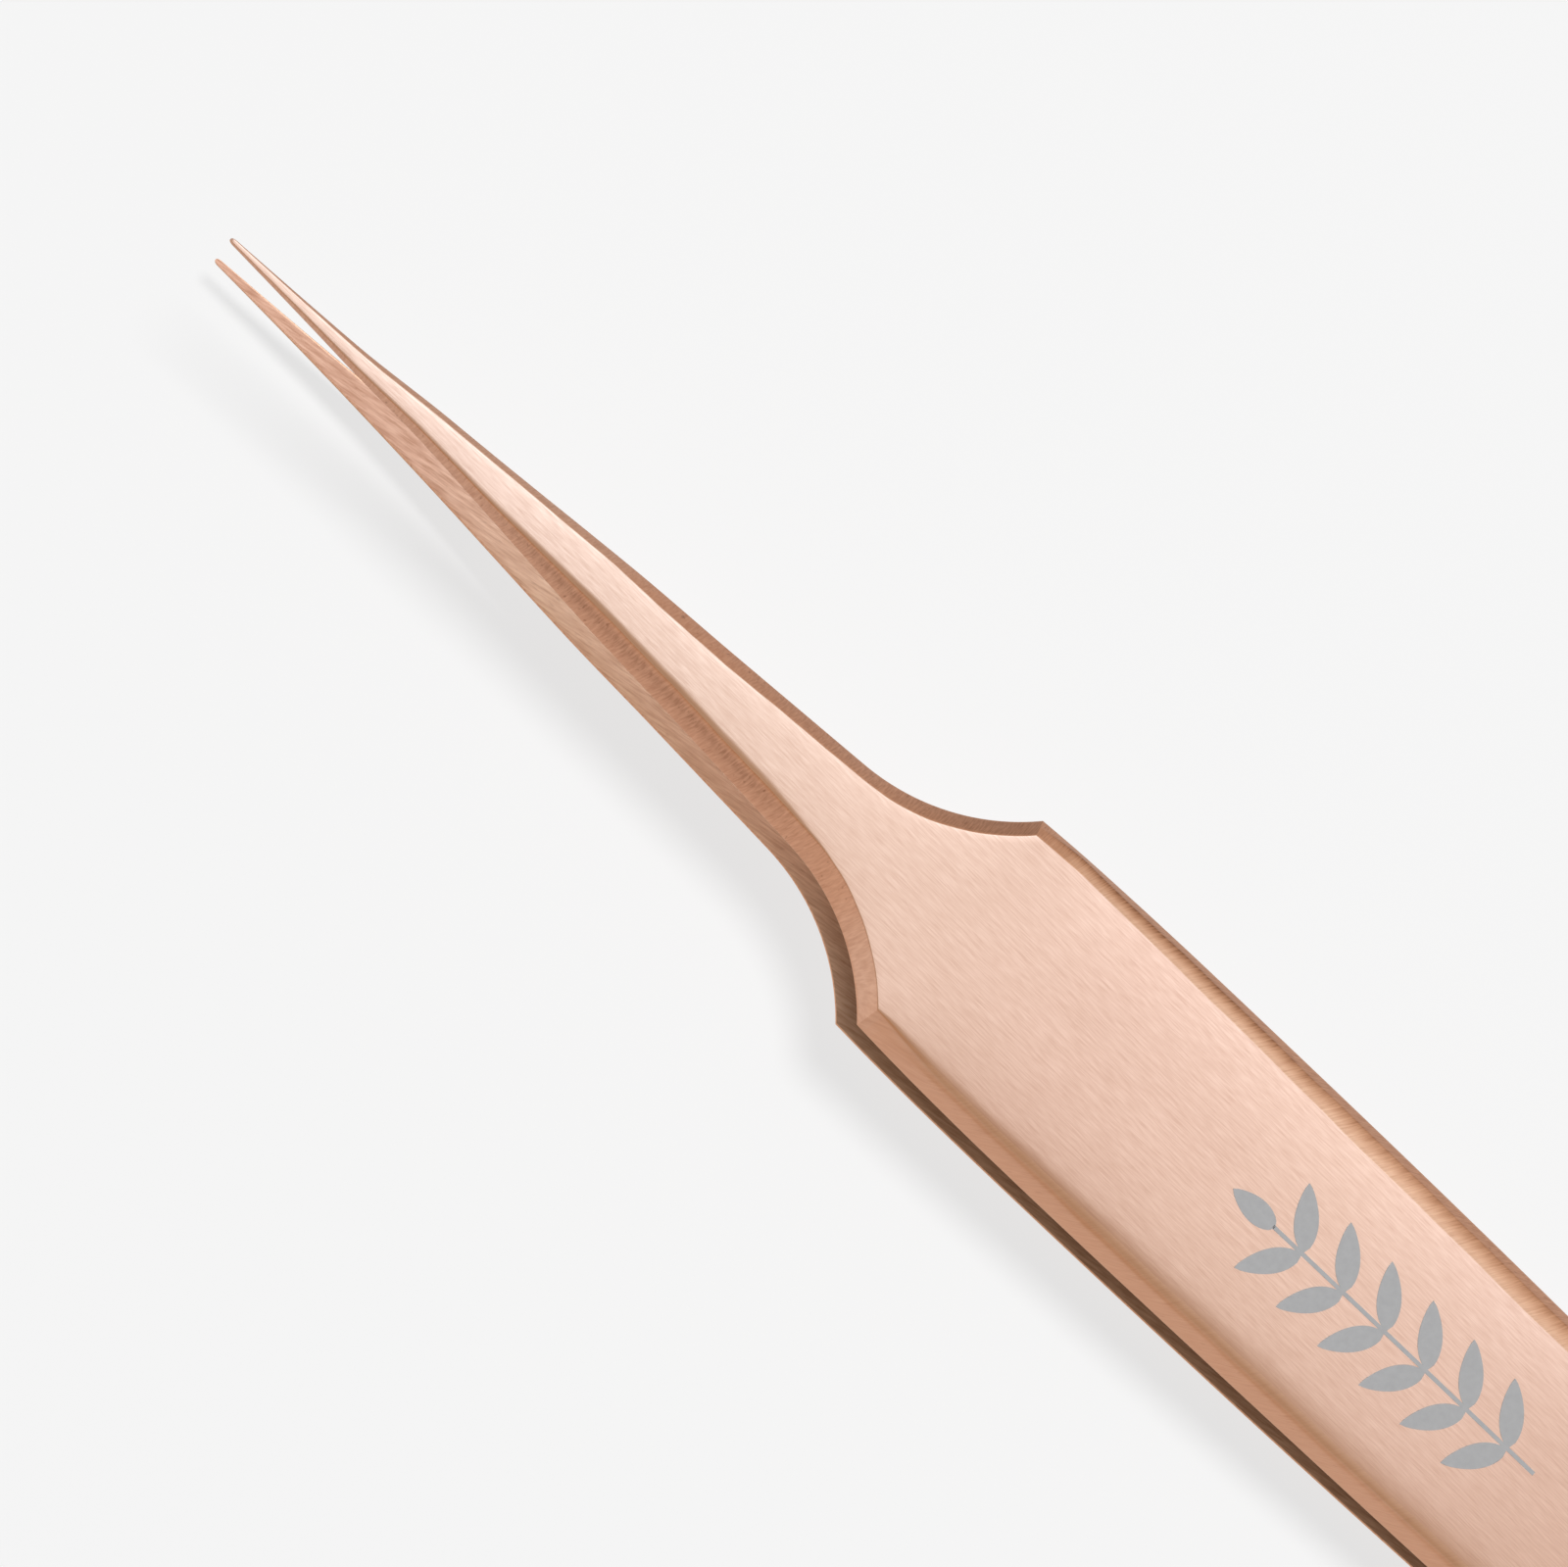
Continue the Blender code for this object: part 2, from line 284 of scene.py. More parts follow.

# Up a ground side: (share of the way, how dark the painted shade line is there), and the painted
# shade line across its break.
FACET_STEPS = ((0.2, 0.0), (0.6, 0.1), (0.88, 0.6))
BREAK_SHADES = (0.8, 1.0, 1.0, 1.0, 0.85)
BAND_STEPS = ((0.2, 0.5), (0.4, 0.2), (0.6, 0.06), (0.8, 0.0))
BREAK_POLISH_STEP = 0.04
BAND_POLISH_START = 0.16
BAND_POLISH_RISE = 0.7

# How much painted shade darkens the rounded left side of the neck, from its facet up to its crest.
FACET_TONE = 0.30
BREAK_TONES = (0.34, 0.37, 0.40, 0.43, 0.46)
BAND_TONE = 0.52
CREST_TONES = (0.40, 0.20, 0.0, 0.0, 0.0, 0.0, 0.0)


def rounded(before, corner, after, back_reach, on_reach, count):
    """Points along a smooth turn from one straight run into the next."""
    first = corner + (before - corner).normalized() * back_reach
    last = corner + (after - corner).normalized() * on_reach
    points = []
    for i in range(count):
        t = i / (count - 1)
        points.append(first * (1 - t) ** 2 + corner * 2 * t * (1 - t) + last * t * t)
    return points


def waver(u, hand):
    """The small wander of a hand-ground edge, in millimetres."""
    phase = 1.7 * hand
    slow = math.sin(0.71 * u + phase) + 0.7 * math.sin(1.63 * u + 2.0 * phase)
    return 0.012 * slow + 0.005 * math.sin(4.3 * u - phase)


def past_shoulder(u, start, end):
    return ease(u, SHOULDER_STATION + start, SHOULDER_STATION + end)


class Side:
    """One side of a leaf's section at a station, from the inner middle to the outer middle.

    From the foot it rises as a steep facet to a break, from there as a rounded band to the crest,
    and runs on as the crowned outer face. Points are (across, height above the inner face).
    """

    def __init__(self, u, hand):
        self.hand = hand
        self.on_grip = past_shoulder(u, *GRIP_EASE)
        self.full_grip = ease(u, SHOULDER_STATION + FULL_GRIP_START, GRIP_STATION)
        self.formed = past_shoulder(u, *FACET_EASE[hand])
        before_corner = 1.0 - past_shoulder(u, *CORNER_EASE)
        # Painted highlight (pale) and painted shade (dim, line) on the ground sides.
        self.pale = eased(u, NECK_PAINTED_HIGHLIGHT[hand]) * before_corner
        self.dim = eased(u, NECK_PAINTED_SHADE[hand]) * before_corner + GRIP_PAINTED_SHADE[hand] * self.on_grip
        self.round_neck = eased(u, NECK_ROUND[hand])
        self.crisp = eased(u, FLARE_CRISP[hand]) * before_corner
        self.line = self.formed * SHADE_LINE_STRENGTH[hand] * eased(u, SHADE_LINE_FADE)
        self.half = half_width(u)
        self.thick = thickness(u)
        share = eased(u, NECK_SHARE[hand])
        self.run = min(bevel_run(u) - self.grown(GRIP_TRIM), self.half * share)
        self.run += waver(u, hand) * eased(u, WAVER_RISE)
        self.edge = min(EDGE_BREAK, 0.22 * self.half, 0.2 * self.thick)
        self.sag = min(NECK_SAG + GRIP_SAG * self.on_grip, 0.05 * self.half)
        self.crest = Vector((self.half - self.run, self.thick - self.sag))
        self.strip = self.facet_top(u)

    def grown(self, pairs):
        """A value that grows at the shoulder and again towards the full grip."""
        at_shoulder, at_grip = pairs[self.hand]
        return at_shoulder * self.on_grip + at_grip * self.full_grip

    def facet_top(self, u):
        """The break between facet and band: on the neck both lie in one plane."""
        foot = Vector((self.half, self.edge))
        straight = foot.lerp(self.crest, 0.50)
        facet_share = FACET_RUN[self.hand] - FACET_RUN_LOSS * (1.0 - self.on_grip)
        steep_run = facet_share * self.run + waver(u + 3.0, self.hand)
        steep_rise = FACET_RISE * (self.crest.y - self.edge)
        return straight.lerp(Vector((self.half - steep_run, self.edge + steep_rise)), self.formed)

    def crest_reaches(self):
        """How far the rounding of the crest runs down the band and onto the face."""
        down = NECK_CREST_REACH[self.hand] + self.grown(CREST_REACH)
        down += ROUND_CREST_REACH * self.round_neck
        down = min(down, (0.25 + 0.25 * self.round_neck) * self.run)
        onto = NECK_FACE_REACH[self.hand] + self.grown(FACE_REACH)
        onto += ROUND_FACE_REACH * self.round_neck
        onto = min(onto, (0.25 + 0.10 * self.round_neck) * (self.half - self.run))
        return down * (1.0 - self.crisp), onto * (1.0 - self.crisp)

    def points(self):
        """The side's points, each with its markings: (point, zone, edge, line, band).

        Edge is 1 on a worn edge. Line is how far painted shade darkens the metal, 1 on the painted
        dark line along the break between facet and band. Band is how far it is polished, and rises
        to 1 up the band; on the neck it also carries a painted highlight.
        """
        inner_end = Vector((self.half - self.edge, 0.0))
        shares = [i / INNER_POINTS for i in range(INNER_POINTS)]
        found = [(inner_end * share, INNER, 0.0, 0.0, 0.0) for share in shares]
        corner = Vector((self.half, 0.0))
        edge_turn = rounded(Vector((0, 0)), corner, self.strip, self.edge, self.edge, EDGE_POINTS)
        for i, p in enumerate(edge_turn):
            worn = 0.3 if i in (0, EDGE_POINTS - 1) else 1.0
            found.append((p, INNER if i == 0 else BEVEL, worn, 0.0, 0.0))
        low = edge_turn[-1]
        soft = BREAK_REACH + GRIP_BREAK_REACH[self.hand] * self.on_grip
        soft = min(soft, 0.2 * self.run)
        turn = rounded(low, self.strip, self.crest, soft, soft, len(BREAK_SHADES))
        return found + self.facet(low, turn) + self.band_and_face(turn[-1])

    def facet(self, low, turn):
        """The steep facet from its low end, and the turn at its break."""
        found = []
        # dark is painted shade; band is the face's colour, on the neck also a painted highlight.
        for share, shade in FACET_STEPS:
            dark = max(self.dim, self.line * shade, FACET_TONE * share * self.round_neck)
            found.append((low.lerp(turn[0], share), BEVEL, 0.0, dark, self.pale))
        for i, (p, shade, tone) in enumerate(zip(turn, BREAK_SHADES, BREAK_TONES)):
            band = max(self.formed * BAND_POLISH[self.hand] * BREAK_POLISH_STEP * i, self.pale)
            dark = max(self.dim, self.line * shade, tone * self.round_neck)
            found.append((p, BEVEL, 0.0, dark, band))
        return found

    def band_and_face(self, top):
        """The rounded band from the break's top, the crest and the crowned face."""
        found = []
        flat = self.half - self.run
        inward_height = self.thick - self.sag * (1 - CROWN_POWER / max(flat, 0.1))
        inward = Vector((flat - 1.0, inward_height))
        crest_turn = rounded(self.strip, self.crest, inward, *self.crest_reaches(), CREST_POINTS)
        out = Vector((self.crest.y - top.y, top.x - self.crest.x)).normalized()
        bulge = BAND_BULGE[self.hand] * self.on_grip
        for share, shade in BAND_STEPS:
            lift = out * bulge * 4 * share * (1 - share)
            polish = BAND_POLISH_START + BAND_POLISH_RISE * share
            band = max(self.formed * BAND_POLISH[self.hand] * polish, self.pale)
            # Painted shade on the neck's band.
            neck_painted_shade = self.dim * (1.0 - self.on_grip)
            dark = max(self.line * shade, neck_painted_shade, BAND_TONE * self.round_neck)
            found.append((top.lerp(crest_turn[0], share) + lift, BEVEL, 0.0, dark, band))
        worn = (WORN_CREST - WORN_CREST_LOSS * self.on_grip) * (1.0 - self.round_neck)
        middle = CREST_POINTS // 2
        for i, (p, tone) in enumerate(zip(crest_turn, CREST_TONES)):
            zone = BEVEL if i < middle else FACE
            edge = worn * (1.0 - abs(i - middle) / middle)
            found.append((p, zone, edge, tone * self.round_neck, max(self.on_grip, self.pale)))
        last = crest_turn[-1]
        for i in range(1, FACE_POINTS):
            across = last.x * (1 - i / (FACE_POINTS - 1))
            height = self.thick - (self.thick - last.y) * (across / last.x) ** CROWN_POWER
            found.append((Vector((across, height)), FACE, 0.0, 0.0, self.on_grip))
        return found


DENT_DEPTH = 0.07
DENT_WALL = (0.75, 1.15)
DENT_RIM = 0.012
DENT_RIM_RISE = (1.0, 1.2)
DENT_RIM_FALL = (1.2, 1.5)


def weld_dent(u, y):
    """Depth of the round electrode marks over the two spot welds."""
    depth = 0.0
    for centre in WELD_MARKS:
        r = math.hypot(u - centre, y)
        rim = DENT_RIM * ease(r, *DENT_RIM_RISE) * (1.0 - ease(r, *DENT_RIM_FALL))
        depth += DENT_DEPTH * (1.0 - ease(r, *DENT_WALL)) - rim
    return depth


def ring(u):
    """Whole section: points (across, height from the middle plane) and each point's markings."""
    swell = 1.0
    if u < NOSE_LENGTH:
        swell = math.sqrt(1.0 - 0.85 * (1.0 - u / NOSE_LENGTH) ** 2)
    left = Side(u, LEFT).points()
    right = [(Vector((-p.x, p.y)), *marks) for p, *marks in Side(u, RIGHT).points()]
    around = left + list(reversed(right))[1:-1]
    base = half_gap(u)
    points = []
    for p, zone, *_ in around:
        height = p.y
        if zone == FACE and u > WELD_STATION:
            height -= weld_dent(u, p.x)
        points.append(Vector((p.x * swell, base + height * swell)))
    return points, [marks for _, *marks in around]


def spaced(first, last, longest):
    count = max(1, math.ceil((last - first) / longest))
    return [first + (last - first) * i / count for i in range(count)]


# Where a leaf has its sections: (first station, last station, greatest spacing).
STATION_SPACING = (
    (NOSE_LENGTH, POINT_STATION, 0.4),
    (POINT_STATION, NECK_STATION, 0.5),
    (NECK_STATION, SHOULDER_STATION, 0.14),
    (SHOULDER_STATION, SHOULDER_STATION + 3.0, 0.3),
    (SHOULDER_STATION + 3.0, WELD_STATION + 1.5, 0.9),
    (WELD_STATION + 1.5, LENGTH - TAIL_CORNER, 0.14),
)
TAIL_CORNER_STEPS = 20
TAIL_CHAMFER_STEPS = 8


def leaf_stations():
    found = [0.0, NOSE_LENGTH * 0.2, NOSE_LENGTH * 0.5]
    for first, last, longest in STATION_SPACING:
        found += spaced(first, last, longest)
    turns = [math.radians(90.0 * i / TAIL_CORNER_STEPS) for i in range(TAIL_CORNER_STEPS + 1)]
    end = {round(LENGTH - TAIL_CORNER + TAIL_CORNER * math.sin(a), 5) for a in turns}
    steps = range(1, TAIL_CHAMFER_STEPS + 1)
    end |= {round(LENGTH - TAIL_CHAMFER * i / TAIL_CHAMFER_STEPS, 5) for i in steps}
    return found + sorted(end)


def slope_distances(points):
    """Each point's distance up its own side of the section, from the middle of the inner face."""
    far = len(points) // 2
    climbed = [0.0]
    for a, b in zip(points, points[1:far + 1]):
        climbed.append(climbed[-1] + (b - a).length)
    back = [0.0]
    around = [points[0]] + list(reversed(points[far + 1:]))
    for a, b in zip(around, around[1:]):
        back.append(back[-1] + (b - a).length)
    return climbed + list(reversed(back[1:]))


# The brushing leans on the ground sides: little on the neck, more on the grip.
NECK_LEAN = 0.12
GRIP_LEAN = 0.55
LEAN_EASE = (-2.0, 4.0)
CALM_EASE = (-3.0, 3.0)
# Keep the brushing of the sides and of the two faces apart.
SIDE_OFFSET = 20.0
ZONE_OFFSET = 40.0
LEAF_SHARP_ANGLE = 26.0


def face_zone(one, other):
    if one == other:
        return one
    return BEVEL if BEVEL in (one, other) else FACE


def grain_place(u, p, zone, length, slope):
    """Brushing coordinates: along and across the leaf, and up the slope on a ground side."""
    if zone != BEVEL:
        return u, p.x + ZONE_OFFSET * zone
    hand = math.copysign(1.0, p.x)
    lean = NECK_LEAN + GRIP_LEAN * past_shoulder(u, *LEAN_EASE)
    return length - hand * lean * slope, slope + SIDE_OFFSET * hand


def leaf(name, side, materials):
    """One whole arm: a closed skin over its sections, with its markings as UV maps.

    grain holds the brushing's coordinates, region (station, edge), shade (the painted shade line, 1
    on the right-hand ground sides, which are painted warmer and darker) and finish (band, calm).
    """
    mesh = bmesh.new()
    grain = mesh.loops.layers.uv.new("grain")
    region = mesh.loops.layers.uv.new("region")
    finish = mesh.loops.layers.uv.new("finish")
    shade = mesh.loops.layers.uv.new("shade")
    stations = leaf_stations()
    rings = [ring(u) for u in stations]
    rows = []
    for u, (points, _) in zip(stations, rings):
        bow = TIP_BOW * (1.0 - ease(u, *BOW_STATIONS)) if side == 1 else 0.0
        rows.append([mesh.verts.new(place(u, p.x + bow, p.y, side)) for p in points])
    count = len(rows[0])
    along = [0.0] * count
    slopes = [slope_distances(points) for points, _ in rings]
    for k in range(len(rows) - 1):
        near, far = rows[k], rows[k + 1]
        marks = rings[k + 1][1]
        after = [along[i] + (far[i].co - near[i].co).length / MM for i in range(count)]
        for i in range(count):
            j = (i + 1) % count
            face = mesh.faces.new((near[i], near[j], far[j], far[i]))
            zone = face_zone(marks[i][0], marks[j][0])
            face.material_index = zone
            for loop, row, at in zip(face.loops, (k, k, k + 1, k + 1), (i, j, j, i)):
                u = stations[row]
                p = rings[row][0][at]
                length = along[at] if row == k else after[at]
                own_zone, edge, line, band = marks[at]
                calm = past_shoulder(u, *CALM_EASE) if p.x > 0 else 0.0
                # The right-hand ground sides are marked for painted shade, warmer and darker.
                right_warm_shade = 1.0 if p.x < 0 and own_zone == BEVEL else 0.0
                loop[grain].uv = grain_place(u, p, zone, length, slopes[row][at])
                loop[region].uv = (u, edge)
                loop[shade].uv = (line, right_warm_shade)
                loop[finish].uv = (band, calm)
        along = after
    for row, station in ((rows[0], 0.0), (list(reversed(rows[-1])), LENGTH)):
        cap = mesh.faces.new(row)
        cap.material_index = BEVEL
        for loop in cap.loops:
            loop[grain].uv = (station + loop.vert.co.z / MM, loop.vert.co.y / MM)
            loop[region].uv = (station, 0.0)
            loop[finish].uv = (0.0, 1.0)
    bmesh.ops.recalc_face_normals(mesh, faces=mesh.faces)
    bmesh.ops.triangulate(mesh, faces=[f for f in mesh.faces if len(f.verts) > 4])
    made = finished(name, mesh, LEAF_SHARP_ANGLE)
    for material in materials:
        made.data.materials.append(material)
    return made


def finished(name, mesh, sharp_angle):
    """The built mesh as a smooth-shaded object in the scene, creased where it turns sharply."""
    data = bpy.data.meshes.new(name)
    mesh.to_mesh(data)
    mesh.free()
    data.polygons.foreach_set("use_smooth", [True] * len(data.polygons))
    data.set_sharp_from_angle(angle=math.radians(sharp_angle))
    made = bpy.data.objects.new(name, data)
    bpy.context.scene.collection.objects.link(made)
    return made


def outer_height(u, y):
    """Height of the outer face from the middle plane, by walking the section."""
    points, marks = ring(u)
    best = None
    for a, b, (zone, *_) in zip(points, points[1:], marks):
        if zone == FACE and min(a.x, b.x) - 1e-9 <= y <= max(a.x, b.x) + 1e-9:
            t = 0.0 if abs(b.x - a.x) < 1e-9 else (y - a.x) / (b.x - a.x)
            best = a.y + (b.y - a.y) * t
    return best


# ---------------------------------------------------------------- printed ornament

SPRIG_FRONT = 46.9
SPRIG_BACK = 61.4
SPRIG_MIDDLE = 0.13
SPRIG_HALF = 1.95
STEM_HALF = 0.075
STEM_START = 1.9
STEM_STEPS = 40
END_LEAF_LENGTH = 2.0
LEAF_PAIRS = 6
FIRST_PAIR = 3.3
PAIRS_LESS = 2.6
LEAF_LEAN = 1.45
LEAF_HALF = 0.43
LEAF_STEPS = 14
# A printed leaf is widest a little before its middle, and its ends are blunt.
LEAF_SKEW = 0.8
LEAF_FULLNESS = 0.75
LEAF_BLUNT = 0.02
PRINT_LIFT = 0.012
PRINT_SINK = 0.03
PRINT_CUTS = 3
PRINT_SHARP_ANGLE = 30.0


def lens(start, end, half):
    """Cross lines (one edge, other edge) of a pointed leaf from its base to its tip."""
    start, end = Vector(start), Vector(end)
    side = Vector((start.y - end.y, end.x - start.x)).normalized()
    lines = []
    for i in range(LEAF_STEPS + 1):
        t = i / LEAF_STEPS
        swell = math.sin(math.pi * t**LEAF_SKEW) ** LEAF_FULLNESS if 0 < i < LEAF_STEPS else 0.0
        wide = half * (swell + LEAF_BLUNT)
        middle = start.lerp(end, t)
        lines.append((middle - side * wide, middle + side * wide))
    return lines


def sprig():
    """The print's parts: a stem, pairs of slanted leaves along it and one leaf at its front end."""
    parts = []
    stem = []
    start = SPRIG_FRONT + STEM_START
    for i in range(STEM_STEPS + 1):
        u = start + (SPRIG_BACK - start) * i / STEM_STEPS
        stem.append((Vector((u, SPRIG_MIDDLE - STEM_HALF)), Vector((u, SPRIG_MIDDLE + STEM_HALF))))
    parts.append(stem)
    end_base = (SPRIG_FRONT + END_LEAF_LENGTH, SPRIG_MIDDLE)
    parts.append(lens(end_base, (SPRIG_FRONT, SPRIG_MIDDLE), LEAF_HALF))
    pitch = (SPRIG_BACK - SPRIG_FRONT - PAIRS_LESS) / LEAF_PAIRS
    for n in range(LEAF_PAIRS):
        base = SPRIG_FRONT + FIRST_PAIR + n * pitch
        for hand in (-1, 1):
            low = (base, SPRIG_MIDDLE + hand * STEM_HALF)
            high = (base - LEAF_LEAN, SPRIG_MIDDLE + hand * SPRIG_HALF)
            parts.append(lens(low, high, LEAF_HALF))
    return parts


def print_slab(mesh, lines):
    """A thin closed slab over the upper leaf's outer face, from its cross lines."""
    layers = []
    for lift in (PRINT_LIFT, -PRINT_SINK):
        rows = []
        for one, other in lines:
            row = []
            for j in range(PRINT_CUTS + 1):
                p = one.lerp(other, j / PRINT_CUTS)
                row.append(mesh.verts.new(place(p.x, p.y, outer_height(p.x, p.y) + lift)))
            rows.append(row)
        layers.append(rows)
    for rows in layers:
        for a, b in zip(rows, rows[1:]):
            for j in range(PRINT_CUTS):
                mesh.faces.new((a[j], a[j + 1], b[j + 1], b[j]))
    top, low = layers
    last = len(lines) - 1
    for j in range(PRINT_CUTS):
        for i in (0, last):
            mesh.faces.new((top[i][j], top[i][j + 1], low[i][j + 1], low[i][j]))
    for i in range(last):
        for j in (0, PRINT_CUTS):
            mesh.faces.new((top[i][j], top[i + 1][j], low[i + 1][j], low[i][j]))


def printed_sprig(material):
    mesh = bmesh.new()
    for lines in sprig():
        print_slab(mesh, lines)
    bmesh.ops.recalc_face_normals(mesh, faces=mesh.faces)
    made = finished("printed_sprig", mesh, PRINT_SHARP_ANGLE)
    made.data.materials.append(material)
    return made


# ---------------------------------------------------------------- materials


class Nodes:
    """Short calls for building a node tree."""

    def __init__(self, tree):
        self.tree = tree

    def add(self, kind, **values):
        node = self.tree.nodes.new(kind)
        for key, value in values.items():
            setattr(node, key, value)
        return node

    def link(self, out, into):
        self.tree.links.new(out, into)

    def maths(self, operation, a, b):
        node = self.add("ShaderNodeMath", operation=operation)
        for socket, value in zip(node.inputs, (a, b)):
            if isinstance(value, (int, float)):
                socket.default_value = value
            else:
                self.link(value, socket)
        return node.outputs["Value"]


class Surface(Nodes):
    """A material and short calls for its node tree."""

    def __init__(self, name):
        self.material = bpy.data.materials.new(name)
        self.material.use_nodes = True
        super().__init__(self.material.node_tree)
        self.shader = self.tree.nodes["Principled BSDF"]

    def grain_vector(self, angle, scale):
        """Leaf coordinates in millimetres, turned by angle and stretched by scale."""
        uv = self.add("ShaderNodeUVMap", uv_map="grain")
        turn = self.add("ShaderNodeMapping")
        turn.inputs["Rotation"].default_value = (0.0, 0.0, math.radians(angle))
        stretch = self.add("ShaderNodeMapping")
        stretch.inputs["Scale"].default_value = (scale[0], scale[1], 1.0)
        self.link(uv.outputs["UV"], turn.inputs["Vector"])
        self.link(turn.outputs["Vector"], stretch.inputs["Vector"])
        return stretch.outputs["Vector"]

    def noise(self, vector, scale=1.0, detail=3.0, rough=0.6):
        node = self.add("ShaderNodeTexNoise")
        node.inputs["Scale"].default_value = scale
        node.inputs["Detail"].default_value = detail
        node.inputs["Roughness"].default_value = rough
        self.link(vector, node.inputs["Vector"])
        return node.outputs["Fac"]

    def spread(self, value, low, high, out_low, out_high):
        node = self.add("ShaderNodeMapRange")
        node.inputs["From Min"].default_value = low
        node.inputs["From Max"].default_value = high
        node.inputs["To Min"].default_value = out_low
        node.inputs["To Max"].default_value = out_high
        self.link(value, node.inputs["Value"])
        return node.outputs["Result"]

    def blend(self, factor, low, high):
        node = self.add("ShaderNodeMix", data_type="RGBA")
        node.inputs["A"].default_value = (*low, 1.0)
        node.inputs["B"].default_value = (*high, 1.0)
        self.link(factor, node.inputs["Factor"])
        return node.outputs["Result"]

    def bump(self, height, strength, distance):
        node = self.add("ShaderNodeBump")
        node.inputs["Strength"].default_value = strength
        node.inputs["Distance"].default_value = distance
        self.link(height, node.inputs["Height"])
        return node.outputs["Normal"]

    def marks(self, name):
        """The two values that a UV map of the leaf carries."""
        uv = self.add("ShaderNodeUVMap", uv_map=name)
        split = self.add("ShaderNodeSeparateXYZ")
        self.link(uv.outputs["UV"], split.inputs[0])
        return split.outputs["X"], split.outputs["Y"]

    def ramp(self, value, stops):
        node = self.add("ShaderNodeValToRGB")
        elements = node.color_ramp.elements
        elements[0].position, elements[0].color = stops[0][0], (*stops[0][1], 1.0)
        elements[1].position, elements[1].color = stops[-1][0], (*stops[-1][1], 1.0)
        for position, color in stops[1:-1]:
            elements.new(position).color = (*color, 1.0)
        self.link(value, node.inputs["Fac"])
        return node.outputs["Color"]

    def multiply(self, factor, a, b):
        node = self.add("ShaderNodeMix", data_type="RGBA", blend_type="MULTIPLY")
        self.link(a, node.inputs["A"])
        self.link(b, node.inputs["B"])
        if isinstance(factor, (int, float)):
            node.inputs["Factor"].default_value = factor
        else:
            self.link(factor, node.inputs["Factor"])
        return node.outputs["Result"]

    def mix(self, factor, a, b):
        node = self.add("ShaderNodeMix", data_type="RGBA")
        self.link(a, node.inputs["A"])
        self.link(b, node.inputs["B"])
        self.link(factor, node.inputs["Factor"])
        return node.outputs["Result"]


# Pairs of colours between which the metal varies; the first also serves the neck's painted
# highlight. The last four multiply its own colour; the last two are painted shade.
POLISH_AND_HIGHLIGHT_TONES = ((0.95, 0.665, 0.53), (0.97, 0.685, 0.55))
WORN_TONES = ((0.97, 0.66, 0.48), (0.99, 0.74, 0.58))
CLOUD_TONES = ((1.005, 1.005, 1.005), (0.985, 0.98, 0.975))
NICK_TONES = ((0.55, 0.46, 0.42), (0.62, 0.52, 0.46))
SHADE_LINE_TONES = ((0.36, 0.29, 0.25), (0.46, 0.38, 0.33))
RIGHT_SHADE_TONES = ((0.95, 0.88, 0.79), (0.97, 0.90, 0.81))
# How strongly the contrast darkens and lightens red, green and blue.
DARKENING = (1.0, 1.3, 1.5)
LIGHTENING = (0.36, 0.60, 0.72)
# The grain's middle tone stays where calmer grinding lowers its contrast.
MIDDLE_TONE = 0.4
FINE_SHARE = 0.55
STREAK_TURN = -0.6
CLOUD_SCALE = (0.06, 0.45)
NICK_SCALE = (2.2, 5.0)


